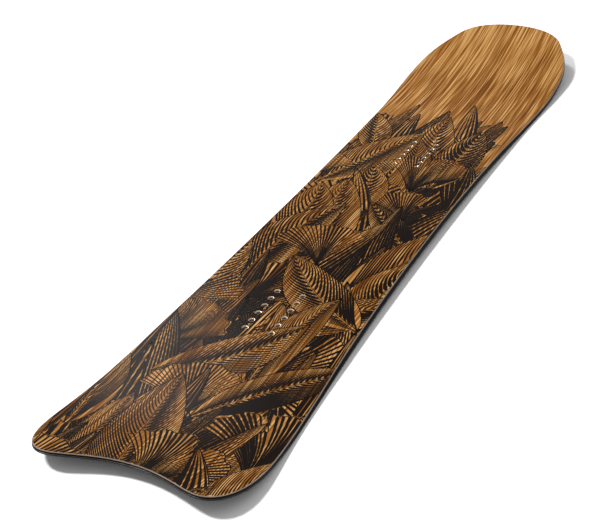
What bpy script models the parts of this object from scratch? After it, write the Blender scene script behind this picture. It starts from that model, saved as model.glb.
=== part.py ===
"""A snowboard with camber, a long nose and a notched tail, layer by layer as it is pressed.

Metres. X runs across the board, +Y towards the nose and +Z up. The origin is the middle of
the board's length and width, on the ground that it stands on. Every height of a layer is
measured upwards from the base line, which is the board's underside.
"""
import math

import bmesh
import bpy
import numpy as np
from mathutils import Matrix, Vector

# Plan at the steel edge
BOARD_LENGTH = 1.568
NOSE_WIDTH = 0.302
WAIST_WIDTH = 0.258
TAPER = 0.009                  # the tail is this much narrower than the nose
NOSE_LENGTH = 0.255            # from the tip back to the widest line of the nose
TAIL_LENGTH = 0.0895           # from the horns forward to the widest line of the tail
WAIST_SETBACK = 0.1275         # of the narrowest line, behind the middle of the board
SHOULDER_WIDTH = 0.2188        # across the blunt end of the nose
SHOULDER_DEPTH = 0.0505        # of the shoulders, behind the tip
SHOULDER_ANGLE = math.radians(63.3)
HORN_SPACING = 0.205           # between the lowest points of the two horns of the tail
NOTCH_DEPTH = 0.0238           # of the hollow between the horns

# Handles of the plan's curves, as shares of the straight line between their ends
NOSE_EASE = 0.36
NOSE_SIDE_EASE = 0.47
SIDECUT_END_EASE = 0.12
SIDECUT_WAIST_EASE = 0.58
TAIL_SIDE_EASE = 0.70
HORN_EASE = 0.20
NOTCH_EASE = 0.475

# Side view
CAMBER = 0.0062                # of the underside, above the ground in the middle
CONTACT_LENGTH = 0.050         # flat stretch at each end of the camber
NOSE_RISE_LENGTH = 0.390       # from the tip back to where the nose leaves the ground
TAIL_RISE_LENGTH = 0.203       # from the horns forward to where the tail leaves the ground
NOSE_LIFT = 0.0504             # of the underside at the tip
TAIL_LIFT = 0.0248             # of the underside at the horns
MIDDLE_THICKNESS = 0.0095
NOSE_THICKNESS = 0.0056
TAIL_THICKNESS = 0.0054

# Layers
BASE_THICKNESS = 0.0012
GLASS_THICKNESS = 0.0006
TOPSHEET_THICKNESS = 0.0006
FOIL_THICKNESS = 0.00025
BOND = 0.0003                  # room for glue between two neighbours
EDGE_WIDTH = 0.0022
FLANGE_WIDTH = 0.0058          # of the edge's flange, which lies on the base sheet
FLANGE_THICKNESS = 0.0006
SIDEWALL_WIDTH = 0.0087
SIDEWALL_SETBACK = 0.0003      # of the sidewall's foot, behind the face of the steel edge
SIDEWALL_LEAN = math.radians(8.0)
TOPSHEET_BEVEL = 0.0002
NOSE_SPACER_LENGTH = 0.150     # from the tip back to the end of the core
TAIL_SPACER_LENGTH = 0.093     # from the horns forward to the end of the core
STRIPS_PER_SIDE = 4            # of wood, from the middle of the core to one sidewall

# Inserts for the bindings
STANCE = 0.560                 # between the middles of the two packs
STANCE_SETBACK = 0.106         # of the middle of the stance, behind the middle of the board
ROW_SPACING = 0.040
INSERT_PITCH = 0.020
INSERTS_PER_ROW = 6
INSERT_BARREL = 0.0090
INSERT_FLANGE = 0.0160
INSERT_FLANGE_THICKNESS = 0.0010
INSERT_BORE = 0.0062           # room for the outside of an M6 thread
INSERT_RECESS = 0.00015        # of the insert's mouth, below the deck
PAD_MARGIN = 0.020             # flat deck past the first and the last insert of a pack

# Fineness
NOSE_STEPS = 8                 # rows from the tip to the shoulder, and on to the widest line
TAIL_STEPS = 4                 # rows from the widest line to the notch, and on to the horn
STATION_STEP = 0.110           # longest row along the sidecut
INSERT_SIDES = 12
CURVE_SAMPLES = 400

TAIL_WIDTH = NOSE_WIDTH - TAPER
TIP_Y = BOARD_LENGTH / 2
HORN_Y = -BOARD_LENGTH / 2
NOSE_WIDEST_Y = TIP_Y - NOSE_LENGTH
TAIL_WIDEST_Y = HORN_Y + TAIL_LENGTH
NOSE_CONTACT_Y = TIP_Y - NOSE_RISE_LENGTH
TAIL_CONTACT_Y = HORN_Y + TAIL_RISE_LENGTH
CORE_NOSE_Y = TIP_Y - NOSE_SPACER_LENGTH
CORE_TAIL_Y = HORN_Y + TAIL_SPACER_LENGTH
STANCE_Y = -STANCE_SETBACK
PACK_Y = {"front": STANCE_Y + STANCE / 2, "rear": STANCE_Y - STANCE / 2}
PAD_HALF = INSERT_PITCH * (INSERTS_PER_ROW - 1) / 2 + PAD_MARGIN

LAMINATE_FLOOR = BASE_THICKNESS + BOND
EDGE_HEIGHT = LAMINATE_FLOOR + FLANGE_THICKNESS
CORE_FLOOR = LAMINATE_FLOOR + max(GLASS_THICKNESS, FLANGE_THICKNESS) + BOND
SIDEWALL_FLOOR = CORE_FLOOR + FOIL_THICKNESS + BOND
LAYERS_OVER_CORE = BOND + GLASS_THICKNESS + BOND + TOPSHEET_THICKNESS
FLANGE_INSET = EDGE_WIDTH + FLANGE_WIDTH
SIDEWALL_INSET = SIDEWALL_SETBACK + SIDEWALL_WIDTH
CORE_INSET = SIDEWALL_INSET + BOND


# Side view


def base_line(y):
    """Height of the underside: an arch of camber between two flat contact lengths, and
    past each of them a parabola up to the end of the board."""
    front = NOSE_CONTACT_Y - CONTACT_LENGTH
    back = TAIL_CONTACT_Y + CONTACT_LENGTH
    across = (2 * y - front - back) / (front - back)
    camber = CAMBER * (1 - np.clip(across, -1, 1) ** 2)
    nose = np.clip((y - NOSE_CONTACT_Y) / NOSE_RISE_LENGTH, 0, None)
    tail = np.clip((TAIL_CONTACT_Y - y) / TAIL_RISE_LENGTH, 0, None)
    return camber + NOSE_LIFT * nose ** 2 + TAIL_LIFT * tail ** 2


def thickness(y):
    """Whole thickness: full between the packs' far ends, thinning to the core's two ends."""
    places = [CORE_TAIL_Y, PACK_Y["rear"] - PAD_HALF, PACK_Y["front"] + PAD_HALF, CORE_NOSE_Y]
    return np.interp(y, places, [TAIL_THICKNESS, MIDDLE_THICKNESS, MIDDLE_THICKNESS,
                                 NOSE_THICKNESS])


def core_roof(y):
    """Height of the top of the core."""
    return thickness(y) - LAYERS_OVER_CORE


def at(height):
    """A layer's face that keeps one height over the base line."""
    return lambda y: np.full_like(np.asarray(y, float), height)


def under_deck(depth):
    """A layer's face that keeps one depth under the deck."""
    return lambda y: thickness(y) - depth


# Plan


def curve(start, heading, ease, end, end_heading, end_ease, steps):
    """A cubic curve between two places with a heading at each, as points and headings."""
    start, end = np.array(start), np.array(end)
    reach = np.linalg.norm(end - start)
    first = start + ease * reach * np.array(heading)
    last = end - end_ease * reach * np.array(end_heading)
    t = np.asarray(steps, float)[:, None]
    point = ((1 - t) ** 3 * start + 3 * (1 - t) ** 2 * t * first
             + 3 * (1 - t) * t ** 2 * last + t ** 3 * end)
    slope = ((1 - t) ** 2 * (first - start) + 2 * (1 - t) * t * (last - first)
             + t ** 2 * (end - last))
    return point, slope / np.linalg.norm(slope, axis=1, keepdims=True)


TIP = (0.0, TIP_Y)
SHOULDER = (SHOULDER_WIDTH / 2, TIP_Y - SHOULDER_DEPTH)
NOSE_SIDE = (NOSE_WIDTH / 2, NOSE_WIDEST_Y)
WAIST = (WAIST_WIDTH / 2, -WAIST_SETBACK)
TAIL_SIDE = (TAIL_WIDTH / 2, TAIL_WIDEST_Y)
HORN = (HORN_SPACING / 2, HORN_Y)
NOTCH = (0.0, HORN_Y + NOTCH_DEPTH)
OUTWARD, BACKWARD, INWARD = (1.0, 0.0), (0.0, -1.0), (-1.0, 0.0)
PAST_SHOULDER = (math.cos(SHOULDER_ANGLE), -math.sin(SHOULDER_ANGLE))


def tail_corner(steps):
    """The curve from the widest line of the tail to the bottom of the horn."""
    return curve(TAIL_SIDE, BACKWARD, TAIL_SIDE_EASE, HORN, INWARD, HORN_EASE, steps)


def stations():
    """Rows along the sidecut, nose first: the ends of every flat stretch, and between
    them as many even rows as the longest step asks for."""
    fixed = [NOSE_WIDEST_Y, NOSE_CONTACT_Y, NOSE_CONTACT_Y - CONTACT_LENGTH, STANCE_Y,
             TAIL_CONTACT_Y + CONTACT_LENGTH, TAIL_CONTACT_Y, TAIL_WIDEST_Y]
    for pack in PACK_Y.values():
        fixed += [pack - PAD_HALF, pack + PAD_HALF]
    fixed = sorted({y for y in fixed if TAIL_WIDEST_Y <= y <= NOSE_WIDEST_Y}, reverse=True)
    rows = [fixed[0]]
    for front, back in zip(fixed, fixed[1:]):
        in_pad = any(abs((front + back) / 2 - pack) < PAD_HALF for pack in PACK_Y.values())
        steps = 1 if in_pad else math.ceil((front - back) / STATION_STEP)
        rows += list(np.linspace(front, back, steps + 1)[1:])
    return np.array(rows)


def sidecut(rows):
    """Points and headings of the sidecut at the given rows."""
    dense = np.linspace(0, 1, CURVE_SAMPLES)
    front, _ = curve(NOSE_SIDE, BACKWARD, SIDECUT_END_EASE,
                     WAIST, BACKWARD, SIDECUT_WAIST_EASE, dense)
    back, _ = curve(WAIST, BACKWARD, SIDECUT_WAIST_EASE,
                    TAIL_SIDE, BACKWARD, SIDECUT_END_EASE, dense)
    whole = np.vstack([front, back[1:]])[::-1]
    x = np.interp(rows, whole[:, 1], whole[:, 0])
    slope = np.interp(rows, whole[:, 1], np.gradient(whole[:, 0], whole[:, 1]))
    return np.column_stack([x, rows]), slope


def flank(inset):
    """The right side from the tip to the bottom of the horn, moved in by an inset, which
    is a length or a function of the place along the board. The nose and the tail move in
    square to the curve. The sidecut's rows keep their places along the board."""
    way = inset if callable(inset) else at(inset)
    even = np.linspace(0, 1, NOSE_STEPS + 1)
    tip, tip_way = curve(TIP, OUTWARD, NOSE_EASE, SHOULDER, PAST_SHOULDER, NOSE_EASE, even)
    side, side_way = curve(SHOULDER, PAST_SHOULDER, NOSE_EASE,
                           NOSE_SIDE, BACKWARD, NOSE_SIDE_EASE, even)
    split = notch_level()
    to_notch = np.linspace(0, split, TAIL_STEPS + 1)[1:]
    to_horn = np.linspace(split, 1, TAIL_STEPS + 1)[1:]
    tail, tail_way = tail_corner(np.concatenate([to_notch, to_horn]))
    middle, slope = sidecut(stations())
    nose = np.vstack([tip, side[1:-1]])
    nose_way = np.vstack([tip_way, side_way[1:-1]])
    nose = nose + way(nose[:, 1])[:, None] * np.column_stack([nose_way[:, 1], -nose_way[:, 0]])
    tail = tail + way(tail[:, 1])[:, None] * np.column_stack([tail_way[:, 1], -tail_way[:, 0]])
    middle[:, 0] -= way(middle[:, 1]) * np.hypot(1, slope)
    return np.vstack([nose, middle, tail])


def notch_level():
    """How far along the tail's corner its curve passes the bottom of the notch."""
    dense = np.linspace(0, 1, CURVE_SAMPLES)
    corner, _ = tail_corner(dense)
    return float(np.interp(-NOTCH[1], -corner[:, 1], dense))


def notch(inset):
    """The hollow of the tail from the middle to the bottom of the horn, moved in alike."""
    way = inset if callable(inset) else at(inset)
    point, heading = curve(HORN, INWARD, HORN_EASE, NOTCH, INWARD, NOTCH_EASE,
                           np.linspace(1, 0, TAIL_STEPS + 1))
    return point + way(point[:, 1])[:, None] * np.column_stack([heading[:, 1], -heading[:, 0]])


def wall_inset(height):
    """Inset of the board's leaning side at a height over the base line."""
    lean = math.tan(SIDEWALL_LEAN)
    return lambda y: SIDEWALL_SETBACK + np.clip(height(y) - EDGE_HEIGHT, 0, None) * lean


def part_of_flank(inset, front, back):
    """The flank between two straight cuts across the board."""
    whole = flank(inset)
    edge = flank(0.0)
    margin = CORE_INSET
    inside = (edge[:, 1] < front - margin) & (edge[:, 1] > back + margin)
    ends = np.interp([-front, -back], -whole[:, 1], whole[:, 0])
    return np.vstack([[ends[0], front], whole[inside], [ends[1], back]])


# Solids


def finish(bm, name, material):
    """Close a mesh, point its faces outwards and put it into the scene as one object."""
    bmesh.ops.remove_doubles(bm, verts=bm.verts, dist=1e-6)
    bmesh.ops.recalc_face_normals(bm, faces=bm.faces)
    mesh = bpy.data.meshes.new(name)
    bm.to_mesh(mesh)
    bm.free()
    mesh.materials.append(material)
    part = bpy.data.objects.new(name, mesh)
    bpy.context.collection.objects.link(part)
    return part


def corners(bm, places, height):
    """Vertices at places in plan, each at its own height over the base line there."""
    z = base_line(places[:, 1]) + height(places[:, 1])
    return [bm.verts.new((x, y, level)) for (x, y), level in zip(places, z)]


def bridge(bm, lines, closed, capped):
    """Faces between neighbouring lines of vertices, which run the length of the piece."""
    pairs = list(zip(lines, lines[1:] + lines[:1])) if closed else list(zip(lines, lines[1:]))
    for one, two in pairs:
        for k in range(len(one) - 1):
            quad = (one[k], one[k + 1], two[k + 1], two[k])
            bm.faces.new(quad)
    for end in capped:
        bm.faces.new([line[end] for line in lines])


def sheet(name, material, low, high, low_inset, high_inset):
    """A layer over the whole plan. Half of it is made and mirrored across the board. The
    middle line follows the rows of the flank until the notch begins."""
    bm = bmesh.new()
    lines = []
    for height, inset in ((low, low_inset), (high, high_inset)):
        outer = flank(inset)
        hollow = notch(inset)
        inner = np.column_stack([np.zeros(len(outer)), outer[:, 1]])
        inner[-len(hollow):] = hollow
        lines.append((corners(bm, outer, height), corners(bm, inner, height)))
    (low_outer, low_inner), (high_outer, high_inner) = lines
    bridge(bm, [low_inner, low_outer, high_outer, high_inner], closed=False, capped=[])
    tail = -TAIL_STEPS - 1
    bridge(bm, [high_inner[tail:], low_inner[tail:]], closed=False, capped=[])
    part = finish(bm, name, material)
    mirror(part)
    return part


def mirror(part):
    """Make the other half of a piece that is alike on both sides of the board."""
    half = part.modifiers.new("other_half", "MIRROR")
    half.merge_threshold = 0.0001


def spacer(name, material, at_nose):
    """The plastic that fills the end of the board where the core stops."""
    bm = bmesh.new()
    lines = []
    cut = CORE_NOSE_Y + BOND if at_nose else CORE_TAIL_Y - BOND
    for height in (at(CORE_FLOOR), core_roof):
        outer = flank(wall_inset(height))
        hollow = notch(wall_inset(height))
        inner = np.column_stack([np.zeros(len(outer)), outer[:, 1]])
        inner[-len(hollow):] = hollow
        edge_y = flank(0.0)[:, 1]
        keep = edge_y > cut + CORE_INSET / 2 if at_nose else edge_y < cut - CORE_INSET / 2
        end = np.array([[np.interp(-cut, -outer[:, 1], outer[:, 0]), cut]])
        middle = np.array([[0.0, cut]])
        if at_nose:
            outer, inner = np.vstack([outer[keep], end]), np.vstack([inner[keep], middle])
        else:
            outer, inner = np.vstack([end, outer[keep]]), np.vstack([middle, inner[keep]])
        lines.append((corners(bm, outer, height), corners(bm, inner, height)))
    (low_outer, low_inner), (high_outer, high_inner) = lines
    end = -1 if at_nose else 0
    bridge(bm, [low_inner, low_outer, high_outer, high_inner], closed=False, capped=[end])
    if not at_nose:
        tail = -TAIL_STEPS - 1
        bridge(bm, [high_inner[tail:], low_inner[tail:]], closed=False, capped=[])
    part = finish(bm, name, material)
    mirror(part)
    return part


def band(name, material, side, section, front=None, back=None):
    """A strip along one side of the board. Its section is a list of corners, each with an
    inset and a height. Without a front and a back it runs from the tip round the horn to
    the middle of the notch, and stops short of the strip from the other side."""
    bm = bmesh.new()
    lines = []
    for inset, height in section:
        if front is None:
            hollow = notch(inset)[::-1]
            path = np.vstack([flank(inset), hollow[1:]])
            path[:, 0] = np.clip(path[:, 0], BOND / 2, None)
        else:
            path = part_of_flank(inset, front, back)
        lines.append(corners(bm, path * (side, 1), height))
    bridge(bm, lines, closed=True, capped=[0, -1])
    return finish(bm, name, material)


def core_strip(name, material, side, number):
    """One full-length wood strip. The first is as wide as a row of inserts asks for, and
    the last follows the sidewall."""
    first = ROW_SPACING
    step = (WAIST_WIDTH / 2 - CORE_INSET - first) / (STRIPS_PER_SIDE - 1)
    outer = part_of_flank(CORE_INSET, CORE_NOSE_Y, CORE_TAIL_Y)
    edges = [BOND / 2] + [first + step * k for k in range(STRIPS_PER_SIDE)]
    inner = outer.copy()
    inner[:, 0] = edges[number] + (BOND / 2 if number else 0)
    if number < STRIPS_PER_SIDE - 1:
        outer[:, 0] = edges[number + 1] - BOND / 2
    bm = bmesh.new()
    lines = [corners(bm, path * (side, 1), height) for path, height in (
        (inner, at(CORE_FLOOR)), (outer, at(CORE_FLOOR)), (outer, core_roof), (inner, core_roof))]
    bridge(bm, lines, closed=True, capped=[0, -1])
    return finish(bm, name, material)


# Inserts


def pad_frame(pack):
    """The underside of one pack's flat stretch: its middle, turned to its slope."""
    back, front = PACK_Y[pack] - PAD_HALF, PACK_Y[pack] + PAD_HALF
    low, high = base_line(np.array([back, front]))
    slope = math.atan2(high - low, front - back)
    middle = Vector((0, PACK_Y[pack], (low + high) / 2))
    return Matrix.Translation(middle) @ Matrix.Rotation(slope, 4, "X")


def insert_places(pack):
    """Places of one pack's inserts on the underside of its pad, left row then right row."""
    frame = pad_frame(pack)
    first = -INSERT_PITCH * (INSERTS_PER_ROW - 1) / 2
    for side in (-1, 1):
        for k in range(INSERTS_PER_ROW):
            place = Vector((side * ROW_SPACING / 2, first + k * INSERT_PITCH, 0))
            yield frame @ Matrix.Translation(place)


def drill(name, radius, low, high):
    """A cutter with one round bar at every insert, between two heights."""
    bm = bmesh.new()
    for pack in PACK_Y:
        for place in insert_places(pack):
            middle = Matrix.Translation((0, 0, (low + high) / 2))
            bmesh.ops.create_cone(bm, cap_ends=True, segments=INSERT_SIDES, radius1=radius,
                                  radius2=radius, depth=high - low, matrix=place @ middle)
    mesh = bpy.data.meshes.new(name)
    bm.to_mesh(mesh)
    bm.free()
    cutter = bpy.data.objects.new(name, mesh)
    cutter.hide_render = True
    cutter.display_type = "WIRE"
    bpy.context.collection.objects.link(cutter)
    return cutter


def bore(part, cutter):
    """Cut the bars of a drill out of a piece."""
    cut = part.modifiers.new(cutter.name, "BOOLEAN")
    cut.operation = "DIFFERENCE"
    cut.solver = "EXACT"
    cut.object = cutter


def clearance_radius(diameter):
    """Radius of a many-sided hole whose flats clear a like-sided bar by the bond."""
    return diameter / 2 + BOND / math.cos(math.pi / INSERT_SIDES)


def insert_mesh(material):
    """A threaded insert, turned from its profile: a wide flange under a barrel."""
    foot = CORE_FLOOR
    shelf = foot + INSERT_FLANGE_THICKNESS
    mouth = MIDDLE_THICKNESS - INSERT_RECESS
    profile = [(INSERT_BORE / 2, foot), (INSERT_FLANGE / 2, foot), (INSERT_FLANGE / 2, shelf),
               (INSERT_BARREL / 2, shelf), (INSERT_BARREL / 2, mouth), (INSERT_BORE / 2, mouth)]
    bm = bmesh.new()
    ring = [bm.verts.new((radius, 0, z)) for radius, z in profile]
    edges = [bm.edges.new(pair) for pair in zip(ring, ring[1:] + ring[:1])]
    bmesh.ops.spin(bm, geom=ring + edges, cent=(0, 0, 0), axis=(0, 0, 1),
                   angle=2 * math.pi, steps=INSERT_SIDES)
    bmesh.ops.rotate(bm, verts=bm.verts, cent=(0, 0, 0),
                     matrix=Matrix.Rotation(math.pi / INSERT_SIDES, 3, "Z"))
    bmesh.ops.remove_doubles(bm, verts=bm.verts, dist=1e-6)
    bmesh.ops.recalc_face_normals(bm, faces=bm.faces)
    mesh = bpy.data.meshes.new("insert")
    bm.to_mesh(mesh)
    bm.free()
    mesh.materials.append(material)
    mesh.shade_smooth()
    mesh.set_sharp_from_angle(angle=math.radians(40))
    return mesh


# Materials


def material(name, colour, roughness, metallic=0.0):
    """A Principled material of one colour, given in linear red, green and blue."""
    made = bpy.data.materials.new(name)
    made.use_nodes = True
    shader = made.node_tree.nodes["Principled BSDF"]
    shader.inputs["Base Color"].default_value = (*colour, 1.0)
    shader.inputs["Roughness"].default_value = roughness
    shader.inputs["Metallic"].default_value = metallic
    made.diffuse_color = (*colour, 1.0)
    return made


# Board


def build_laminate():
    """Base sheet, the two glass layers and the topsheet, with the inserts' holes."""
    base = material("sintered_base", (0.010, 0.010, 0.011), 0.45)
    glass = material("glass_laminate", (0.52, 0.50, 0.42), 0.35)
    veneer = material("lacquered_veneer", (0.35, 0.19, 0.075), 0.30)
    base_inset = EDGE_WIDTH + BOND
    glass_inset = FLANGE_INSET + BOND
    glass_floor = under_deck(TOPSHEET_THICKNESS + BOND + GLASS_THICKNESS)
    glass_roof = under_deck(TOPSHEET_THICKNESS + BOND)
    topsheet_floor = under_deck(TOPSHEET_THICKNESS)
    rim = wall_inset(thickness)
    sheet("base_sheet", base, at(0.0), at(BASE_THICKNESS), base_inset, base_inset)
    sheet("lower_glass", glass, at(LAMINATE_FLOOR), at(LAMINATE_FLOOR + GLASS_THICKNESS),
          glass_inset, glass_inset)
    upper = sheet("upper_glass", glass, glass_floor, glass_roof,
                  wall_inset(glass_floor), wall_inset(glass_roof))
    deck = sheet("topsheet", veneer, topsheet_floor, thickness, wall_inset(topsheet_floor),
                 lambda y: rim(y) + TOPSHEET_BEVEL)
    barrel_drill = drill("barrel_drill", clearance_radius(INSERT_BARREL), 0,
                         2 * MIDDLE_THICKNESS)
    flange_drill = drill("flange_drill", clearance_radius(INSERT_FLANGE), 0,
                         CORE_FLOOR + INSERT_FLANGE_THICKNESS + BOND)
    bore(upper, barrel_drill)
    bore(deck, barrel_drill)
    return barrel_drill, flange_drill


def build_core(barrel_drill, flange_drill):
    """Wood strips side by side, and a plastic spacer past each end of them."""
    pale = material("poplar", (0.55, 0.40, 0.22), 0.65)
    warm = material("beech", (0.45, 0.27, 0.13), 0.65)
    plastic = material("spacer_plastic", (0.02, 0.02, 0.02), 0.5)
    for side, word in ((-1, "left"), (1, "right")):
        for number in range(STRIPS_PER_SIDE):
            wood = pale if number % 2 else warm
            strip = core_strip(f"core_strip_{word}_{number + 1}", wood, side, number)
            if number == 0:
                bore(strip, barrel_drill)
                bore(strip, flange_drill)
    spacer("nose_spacer", plastic, at_nose=True)
    spacer("tail_spacer", plastic, at_nose=False)


def build_sides():
    """Steel edges with their flanges, and over them the damping foils and sidewalls."""
    steel = material("edge_steel", (0.30, 0.30, 0.31), 0.32, 1.0)
    rubber = material("damping_rubber", (0.015, 0.015, 0.015), 0.8)
    abs_plastic = material("sidewall_abs", (0.012, 0.012, 0.013), 0.4)
    lip = wall_inset(core_roof)
    edge = [(0.0, at(0.0)), (EDGE_WIDTH, at(0.0)), (EDGE_WIDTH, at(LAMINATE_FLOOR)),
            (FLANGE_INSET, at(LAMINATE_FLOOR)), (FLANGE_INSET, at(EDGE_HEIGHT)),
            (0.0, at(EDGE_HEIGHT))]
    foil = [(SIDEWALL_SETBACK, at(CORE_FLOOR)), (SIDEWALL_INSET, at(CORE_FLOOR)),
            (SIDEWALL_INSET, at(CORE_FLOOR + FOIL_THICKNESS)),
            (SIDEWALL_SETBACK, at(CORE_FLOOR + FOIL_THICKNESS))]
    foot = wall_inset(at(SIDEWALL_FLOOR))
    wall = [(foot, at(SIDEWALL_FLOOR)), (SIDEWALL_INSET, at(SIDEWALL_FLOOR)),
            (SIDEWALL_INSET, core_roof), (lip, core_roof)]
    for side, word in ((-1, "left"), (1, "right")):
        band(f"steel_edge_{word}", steel, side, edge)
        band(f"damping_foil_{word}", rubber, side, foil, CORE_NOSE_Y, CORE_TAIL_Y)
        band(f"sidewall_{word}", abs_plastic, side, wall, CORE_NOSE_Y, CORE_TAIL_Y)


def build_inserts():
    """Every insert is its own object with one shared mesh, square to its pad."""
    mesh = insert_mesh(material("stainless_insert", (0.62, 0.61, 0.58), 0.3, 1.0))
    for pack in PACK_Y:
        for number, place in enumerate(insert_places(pack)):
            row = "left" if number < INSERTS_PER_ROW else "right"
            name = f"insert_{pack}_{row}_{number % INSERTS_PER_ROW + 1}"
            part = bpy.data.objects.new(name, mesh)
            part.matrix_world = place
            bpy.context.collection.objects.link(part)


def main():
    """Clear the scene and build the board from the ground up."""
    for old in list(bpy.data.objects):
        bpy.data.objects.remove(old, do_unlink=True)
    drills = build_laminate()
    build_core(*drills)
    build_sides()
    build_inserts()


main()
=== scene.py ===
"""Looks of a snowboard: a pressed laminate whose lacquered veneer carries a print of leaves.

Metres. X runs across the board, +Y towards the nose and +Z up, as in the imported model.
"""

import math

import bmesh
import bpy
import numpy as np
from bpy.props import FloatProperty, FloatVectorProperty, IntProperty, PointerProperty
from mathutils import Matrix, Vector


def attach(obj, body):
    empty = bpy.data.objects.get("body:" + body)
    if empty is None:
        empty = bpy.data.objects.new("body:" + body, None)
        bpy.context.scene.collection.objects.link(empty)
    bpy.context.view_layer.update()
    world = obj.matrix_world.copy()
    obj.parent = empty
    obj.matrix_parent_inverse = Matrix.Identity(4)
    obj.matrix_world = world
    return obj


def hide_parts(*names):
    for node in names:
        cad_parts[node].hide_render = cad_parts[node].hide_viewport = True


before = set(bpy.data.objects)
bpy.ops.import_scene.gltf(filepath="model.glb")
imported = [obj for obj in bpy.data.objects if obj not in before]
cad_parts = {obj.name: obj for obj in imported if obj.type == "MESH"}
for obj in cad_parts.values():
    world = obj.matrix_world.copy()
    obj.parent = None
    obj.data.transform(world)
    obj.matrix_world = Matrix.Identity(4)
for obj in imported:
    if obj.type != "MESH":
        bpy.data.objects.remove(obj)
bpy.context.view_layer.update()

bl_info = {
    "name": "Snowboard",
    "version": (1, 0, 0),
    "blender": (4, 5, 0),
    "location": "View3D > Sidebar > Snowboard",
    "description": "Dresses the packed snowboard with its real surfaces and its printed deck",
    "category": "Object",
}

# Plan at the steel edge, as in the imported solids
BOARD_LENGTH = 1.568
NOSE_WIDTH = 0.302
WAIST_WIDTH = 0.258
TAIL_WIDTH = 0.293
NOSE_LENGTH = 0.255            # from the tip back to the widest line of the nose
TAIL_LENGTH = 0.0895           # from the horns forward to the widest line of the tail
WAIST_SETBACK = 0.1275         # of the narrowest line, behind the middle of the board
SHOULDER_WIDTH = 0.2188        # across the blunt end of the nose
SHOULDER_DEPTH = 0.0505        # of the shoulders, behind the tip
SHOULDER_ANGLE = math.radians(63.3)    # of the outline there, from square across the board
HORN_SPACING = 0.205           # between the lowest points of the two horns of the tail
NOTCH_DEPTH = 0.0238           # of the hollow between the horns
# How far the outline's curves keep to the heading at each end, as shares of their chords
NOSE_EASE, NOSE_SIDE_EASE = 0.36, 0.47
SIDECUT_END_EASE, SIDECUT_WAIST_EASE = 0.12, 0.58
TAIL_SIDE_EASE, HORN_EASE, NOTCH_EASE = 0.70, 0.20, 0.475

# Side view
CAMBER = 0.0062                # of the underside, above the ground in the middle
CONTACT_LENGTH = 0.050         # flat stretch at each end of the camber
NOSE_RISE_LENGTH = 0.390       # from the tip back to where the nose leaves the ground
TAIL_RISE_LENGTH = 0.203       # from the horns forward to where the tail leaves the ground
NOSE_LIFT = 0.0504             # of the underside at the tip
TAIL_LIFT = 0.0248             # of the underside at the horns
MIDDLE_THICKNESS, NOSE_THICKNESS, TAIL_THICKNESS = 0.0095, 0.0056, 0.0054

# Layers
BASE_THICKNESS = 0.0012
GLASS_THICKNESS = 0.0006
TOPSHEET_THICKNESS = 0.0006
FOIL_THICKNESS = 0.00025
BOND = 0.0003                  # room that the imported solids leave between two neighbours
EDGE_WIDTH = 0.0022
FLANGE_WIDTH = 0.0058
FLANGE_THICKNESS = 0.0006
SIDEWALL_WIDTH = 0.0087
SIDEWALL_SETBACK = 0.0003
SIDEWALL_LEAN = math.radians(8.0)
NOSE_SPACER_LENGTH = 0.150
TAIL_SPACER_LENGTH = 0.093
STRIPS_PER_SIDE = 4

# Inserts for the bindings
STANCE = 0.560
STANCE_SETBACK = 0.106
ROW_SPACING = 0.040
INSERT_PITCH = 0.020
INSERTS_PER_ROW = 6
INSERT_BARREL = 0.0090
INSERT_FLANGE = 0.0160
INSERT_FLANGE_THICKNESS = 0.0010
INSERT_RECESS = 0.00015
PAD_MARGIN = 0.020
THREAD_RADIUS = 0.00308        # at the roots of the thread
COUNTERSINK_RADIUS = 0.0041
COUNTERSINK_DEPTH = 0.0010
COUNTERSINK_LIP = 0.00002      # of the countersink's rim, below the mouth

# Places along the board
TIP_Y = BOARD_LENGTH / 2
HORN_Y = -BOARD_LENGTH / 2
NOSE_CONTACT_Y = TIP_Y - NOSE_RISE_LENGTH
TAIL_CONTACT_Y = HORN_Y + TAIL_RISE_LENGTH
CORE_NOSE_Y = TIP_Y - NOSE_SPACER_LENGTH
CORE_TAIL_Y = HORN_Y + TAIL_SPACER_LENGTH
PACK_Y = {"front": STANCE / 2 - STANCE_SETBACK, "rear": -STANCE / 2 - STANCE_SETBACK}
PAD_HALF = INSERT_PITCH * (INSERTS_PER_ROW - 1) / 2 + PAD_MARGIN

# Heights over the underside, a depth under the deck, and insets from the plan
LAMINATE_FLOOR = BASE_THICKNESS + BOND
EDGE_HEIGHT = LAMINATE_FLOOR + FLANGE_THICKNESS
CORE_FLOOR = LAMINATE_FLOOR + max(GLASS_THICKNESS, FLANGE_THICKNESS) + BOND
SIDEWALL_FLOOR = CORE_FLOOR + FOIL_THICKNESS + BOND
UPPER_GLASS_DEPTH = GLASS_THICKNESS + BOND + TOPSHEET_THICKNESS
FLANGE_INSET = EDGE_WIDTH + FLANGE_WIDTH
SIDEWALL_INSET = SIDEWALL_SETBACK + SIDEWALL_WIDTH
CORE_INSET = SIDEWALL_INSET + BOND

# Finish
EDGE_BREAK = 0.0001            # taken off the corners of the steel
SHARP_ANGLE = math.radians(25)
MERGE = 1e-6                   # points nearer than this become one
ROW_COLUMNS = 4                # quads of a row from the middle line to the rim
HOLE_SIDES, INSERT_SIDES = 48, 24

# Print
HEAVY_INK = 0.15               # share of ink added where the print is heaviest
HEAVY_INK_Y, HEAVY_INK_REACH = -0.48, 0.17    # that place, and how far the ink fades past it
INK_CLEARANCE = 0.0049         # radius round the middle of an insert that stays bare
LEAF_FIELD_HALF = 0.17         # half the width of the strip where leaves have their feet
LEAF_FIELD_END = HORN_Y - 0.25

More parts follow.
